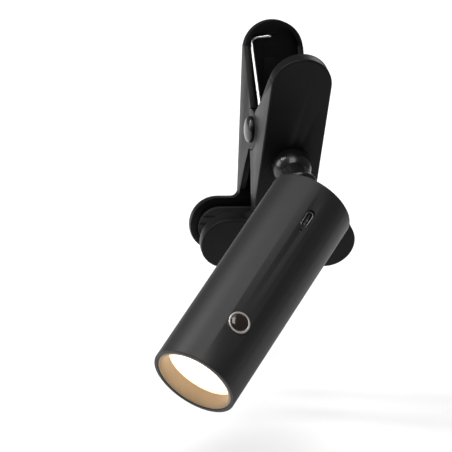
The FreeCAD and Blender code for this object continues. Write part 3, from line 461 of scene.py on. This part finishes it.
def smokedGuide(look):
    # clear smoked plastic of the indicator's light guide
    material, shader, spot = newMaterial("smokedGuide", look["fixed"])
    swirl = spot.noise(look["swirl"], look["detail"])
    connect(shader, {"Base Color": swirl.blend(look["dark"], look["light"]),
                     "Roughness": spreadAround(look, swirl)})
    return material


# the clip
leverLook = {"frontRound": 0.30, "rearRound": 0.30, "padRound": 0.25}
finished("frontLever", softCopy("front_lever", leverLook["frontRound"]), inMm, leverPlastic,
         "front_clip", "front_lever")
finished("rearLever", softCopy("rear_lever", leverLook["rearRound"]), inMm, leverPlastic,
         "rear_clip", "rear_lever")
for name, node, body in (("frontGrip", "front_pad", "front_clip"), ("rearGrip", "rear_pad", "rear_clip")):
    finished(name, softCopy(node, leverLook["padRound"]), inMm, padRubber, body, node)
print("clip levers and pads")

pinLook = {"bore": 2.0, "grip": 2.0, "edge": 0.9, "domeSteps": 14, "rounding": 0.25}


def crownOf(radius, shoulder, top, steps):
    # a low dome's half section, from its shoulder to just short of its top
    turns = [math.pi / 2 * step / steps for step in range(steps)]
    return [(radius * math.cos(turn), shoulder + (top - shoulder) * math.sin(turn)) for turn in turns]


for side, name, node in ((1, "rightPinCap", "right_pin_cap"), (-1, "leftPinCap", "left_pin_cap")):
    capPlace = placeAt(pivot, outOfFace, acrossClip * side)
    low, high = reach(node, capPlace)
    crown = crownOf(high.x, low.z + pinLook["edge"], high.z, pinLook["domeSteps"])
    inside = low.z + pinLook["grip"]
    pinCap = lathe([(0, inside), (pinLook["bore"], inside), (pinLook["bore"], low.z), (high.x, low.z),
                    *crown, (0, high.z)], pinLook["rounding"])
    finished(name, pinCap, capPlace, glossBlack, "front_clip", node)
print("pin caps")

# the neck
neckLook = {"bore": 2.1, "domeEdge": 2.5, "domeSteps": 16, "domeRound": 0.35, "collarWaist": 6.7,
            "collarLip": 2.0, "lipSteps": 8, "flareFrom": 0.8, "flarePower": 1.7, "flareSteps": 16,
            "collarRound": 0.175, "studRadius": 2.5, "ballSteps": 40, "ballRound": 0.12}
domeLow, domeHigh = reach("dome_base", neckPlace)
domeCentre = domeLow.z + neckLook["domeEdge"]
domeStop = math.degrees(math.asin((domeHigh.z - domeCentre) / domeHigh.x))
domeArc = arc((0, domeCentre), domeHigh.x, 0, domeStop, neckLook["domeSteps"])
domeBase = lathe([(neckLook["bore"], domeLow.z), (domeHigh.x, domeLow.z), *domeArc,
                  (neckLook["bore"], domeHigh.z)], neckLook["domeRound"], ring=True)
finished("domeBase", domeBase, neckPlace, glossBlack, "front_clip", "dome_base")

collarLow, collarHigh = reach("neck_collar", neckPlace)
waist, stud, flareStart = neckLook["collarWaist"], neckLook["studRadius"], collarLow.z + neckLook["flareFrom"]
lip = collarHigh.z - neckLook["collarLip"]
flare = []
for step in range(neckLook["flareSteps"] + 1):
    share = step / neckLook["flareSteps"]
    radius = waist + (collarHigh.x - waist) * share ** neckLook["flarePower"]
    flare.append((radius, flareStart + (lip - flareStart) * share))
lipArc = arc((collarHigh.x - neckLook["collarLip"], lip), neckLook["collarLip"], 0, 90, neckLook["lipSteps"])
neckCollar = lathe([(stud, collarLow.z), (waist, collarLow.z), *flare, *lipArc[1:], (stud, collarHigh.z)],
                   neckLook["collarRound"], ring=True)
finished("neckCollar", neckCollar, neckPlace, glossBlack, "neck", "neck_collar")

ballLow, ballHigh = reach("ball_stud", neckPlace)
ballStart = -math.degrees(math.acos(stud / ballHigh.x))
ballArc = arc((0, 0), ballHigh.x, ballStart, 90, neckLook["ballSteps"])
ballStud = lathe([(0, ballLow.z), (stud, ballLow.z), *ballArc[:-1], (0, ballHigh.z)], neckLook["ballRound"])
finished("ballStud", ballStud, neckPlace, bareAluminium, "neck", "ball_stud")
print("neck")

# the head
headLook = {"tubeRound": 0.18, "capRound": 0.25, "seatRound": 0.15, "lensCrown": 0.5, "lensSteps": 10,
            "lensRound": 0.1, "bezelWall": 1.2, "bezelRound": 0.25}
finished("headShell", softCopy("head_tube", headLook["tubeRound"]), inMm, headCoat, "head", "head_tube")
finished("rearCap", softCopy("rear_cap", headLook["capRound"]), inMm, seatPlastic, "head", "rear_cap")
finished("ballLiner", softCopy("ball_seat", headLook["seatRound"]), inMm, seatPlastic,
         "ball_liner", "ball_seat")

crown = []
for step in range(headLook["lensSteps"]):
    share = 1 - step / headLook["lensSteps"]
    crown.append((lensHigh.x * share, lensHigh.z - headLook["lensCrown"] * share ** 2))
lens = lathe([(0, lensLow.z), (lensHigh.x, lensLow.z), *crown, (0, lensHigh.z)], headLook["lensRound"])
finished("opalLens", lens, headPlace, opalDiffuser(glowLook), "head", "lens")
bezelLow, bezelHigh = reach("bezel_ring", headPlace)
bezelBore = bezelHigh.x - headLook["bezelWall"]
bezel = lathe([(bezelBore, bezelLow.z), (bezelHigh.x, bezelLow.z), (bezelHigh.x, bezelHigh.z),
               (bezelBore, bezelHigh.z)], headLook["bezelRound"], ring=True)
finished("lightLiner", bezel, headPlace, bezelMetal, "head", "bezel_ring")
print("head shell and lens")

buttonLook = {"wall": 0.9, "ringRound": 0.16, "crown": 0.9, "crownSteps": 12, "play": 0.1, "flange": 0.6,
              "capRound": 0.12, "portRound": 0.08}
ringLow, ringHigh = reach("button_ring", buttonPlace)
ringBore = ringHigh.x - buttonLook["wall"]
buttonRing = lathe([(ringBore, ringLow.z), (ringHigh.x, ringLow.z), (ringHigh.x, ringHigh.z),
                    (ringBore, ringHigh.z)], buttonLook["ringRound"], ring=True)
finished("buttonRing", buttonRing, buttonPlace, satinNickel, "head", "button_ring")
capLow, capHigh = reach("button_cap", buttonPlace)
capSide, flangeTop = ringBore - buttonLook["play"], capLow.z + buttonLook["flange"]
crown = crownOf(capSide, capHigh.z - buttonLook["crown"], capHigh.z, buttonLook["crownSteps"])
buttonCap = lathe([(0, capLow.z), (capHigh.x, capLow.z), (capHigh.x, flangeTop), (capSide, flangeTop),
                   *crown, (0, capHigh.z)], buttonLook["capRound"])
finished("buttonCap", buttonCap, buttonPlace, buttonGloss, "button", "button_cap")
finished("portShell", softCopy("usb_shell", buttonLook["portRound"]), inMm, portSteel, "head", "usb_shell")

contactLook = {"count": 12, "pitch": 0.5, "wide": 0.25, "long": 2.2, "thick": 0.03, "tipGap": 0.5}


def portContacts():
    # both rows of gold contacts on the port's tongue
    low, high = reach("usb_tongue", portPlace)
    deep = high.z - contactLook["tipGap"] - contactLook["long"] / 2
    box = Matrix.Diagonal((contactLook["wide"], contactLook["thick"] * 2, contactLook["long"], 1))
    bm = bmesh.new()
    for side in (low.y, high.y):
        for index in range(contactLook["count"]):
            along = (index - (contactLook["count"] - 1) / 2) * contactLook["pitch"]
            bmesh.ops.create_cube(bm, size=1, matrix=Matrix.Translation((along, side, deep)) @ box)
    return bm


finished("portContacts", portContacts(), portPlace, contactGold, "head")
print("button and port")

finishes = {
    "pivot_pin": springSteel, "spring_coil": springSteel, "spring_front_leg": springSteel,
    "friction_washer": naturalNylon, "spring_washer": zincScrew, "neck_screw": zincScrew,
    "seat_retainer": bareAluminium, "cap_screws": zincScrew, "battery_cradle": naturalNylon,
    "charge_chip": chipPlastic, "boost_choke": chipPlastic, "tactile_switch": chipPlastic,
    "usb_tongue": chipPlastic, "heat_sink": bareAluminium, "reflector": whiteReflector,
    "lens_gasket": padRubber, "battery_cell": cellSleeve(sleeveLook),
    "main_board": circuitBoard(boardLook), "led_board": whiteBoard(whiteLook),
    "led_emitter": ledPhosphor(phosphorLook), "indicator_led": ledPhosphor(phosphorLook),
    "light_pipe": smokedGuide(guideLook)}
for node, material in finishes.items():
    slots = frame["nodes"][node].data.materials
    slots.clear()
    slots.append(material)
print("inner pieces")

# studio
floorLook = {"drop": 0.045, "size": 4, "whole": 0.5, "gone": 1.4, "dark": (0.94, 0.94, 0.94),
             "light": (0.97, 0.97, 0.97), "clouds": 3, "fixed": {"Roughness": 0.9, "Specular IOR Level": 0.2}}
floorMesh = bpy.data.meshes.new("studioFloor")
floorBm = bmesh.new()
bmesh.ops.create_grid(floorBm, x_segments=1, y_segments=1, size=floorLook["size"] / 2)
floorBm.to_mesh(floorMesh)
floorBm.free()
studioFloor = bpy.data.objects.new("studioFloor", floorMesh)
studioFloor.location.z = cadBox[0].z - floorLook["drop"]
bpy.context.scene.collection.objects.link(studioFloor)
floorMaterial, floorShader, floorSpot = newMaterial("studioPaint", floorLook["fixed"])
fade = floorSpot.node("ShaderNodeMapRange", {"interpolation_type": "SMOOTHSTEP"}, {
    "Value": floorSpot.fromAxis(), "From Min": floorLook["whole"], "From Max": floorLook["gone"],
    "To Min": 1.0, "To Max": 0.0})
paint = floorSpot.noise(floorLook["clouds"]).blend(floorLook["dark"], floorLook["light"])
connect(floorShader, {"Base Color": paint, "Alpha": fade})
floorMesh.materials.append(floorMaterial)

# a lamp that isn't mirrored lights the scene but never shows as a reflection
softboxes = {
    "overhead": {"spot": (-0.12, 0.05, 0.95), "size": (0.45, 0.60), "power": 1.5},
    "highLeft": {"spot": (-0.67, 0.25, 0.86), "size": (0.16, 0.50), "power": 5.2},
    "overFront": {"spot": (-0.10, -0.45, 0.95), "size": (0.55, 0.55), "power": 4.2},
    "leftWall": {"spot": (-1.1, 0.35, 0.35), "size": (0.5, 0.5), "power": 4.0},
    "rearRight": {"spot": (0.75, 0.90, 0.55), "size": (0.60, 0.60), "power": 3.0},
    "backdrop": {"spot": (0.0, 1.3, 1.0), "size": (1.2, 0.8), "power": 15.0, "aim": (0.1, 0.15, -0.1),
                 "mirrored": False},
}
for name, look in softboxes.items():
    lamp = bpy.data.lights.new(name, "AREA")
    lamp.shape = "RECTANGLE"
    lamp.size, lamp.size_y = look["size"]
    lamp.energy = look["power"]
    softbox = bpy.data.objects.new(name, lamp)
    softbox.location = look["spot"]
    beam = Vector(look.get("aim", (0, 0, 0))) - Vector(look["spot"])
    softbox.rotation_euler = beam.to_track_quat("-Z", "Y").to_euler()
    softbox.visible_glossy = look.get("mirrored", True)
    bpy.context.scene.collection.objects.link(softbox)

airLook = {"fill": 0.14, "background": 1.0}
world = bpy.data.worlds.new("studioAir")
world.use_nodes = True
air = Wired(world.node_tree)
white = (1, 1, 1, 1)
fill = air.node("ShaderNodeBackground", {}, {"Color": white, "Strength": airLook["fill"]})
background = air.node("ShaderNodeBackground", {}, {"Color": white, "Strength": airLook["background"]})
seenDirectly = air.node("ShaderNodeLightPath")
room = air.node("ShaderNodeMixShader", {}, {0: seenDirectly, 1: fill, 2: background})
world.node_tree.links.new(room.socket, world.node_tree.nodes["World Output"].inputs["Surface"])
bpy.context.scene.world = world
bpy.context.scene.view_settings.view_transform = "Standard"

cameraLook = {"azimuth": -14.56, "elevation": 20.67, "roll": 4.65, "distance": 1.24075, "aside": -0.02579,
              "raise": -0.04572, "lens": 209.0}


def aimCamera(look):
    turn, rise, roll = [math.radians(look[key]) for key in ("azimuth", "elevation", "roll")]
    back = Vector((math.sin(turn) * math.cos(rise), -math.cos(turn) * math.cos(rise), math.sin(rise)))
    right = Vector((math.cos(turn), math.sin(turn), 0))
    up = back.cross(right)
    right, up = right * math.cos(roll) + up * math.sin(roll), up * math.cos(roll) - right * math.sin(roll)
    camera = bpy.data.objects.new("camera", bpy.data.cameras.new("camera"))
    camera.data.lens = look["lens"]
    spot = pivot + back * look["distance"] + right * look["aside"] + up * look["raise"]
    camera.matrix_world = Matrix.Translation(spot) @ Matrix((right, up, back)).transposed().to_4x4()
    bpy.context.scene.collection.objects.link(camera)
    bpy.context.scene.camera = camera


aimCamera(cameraLook)
print("studio and camera")
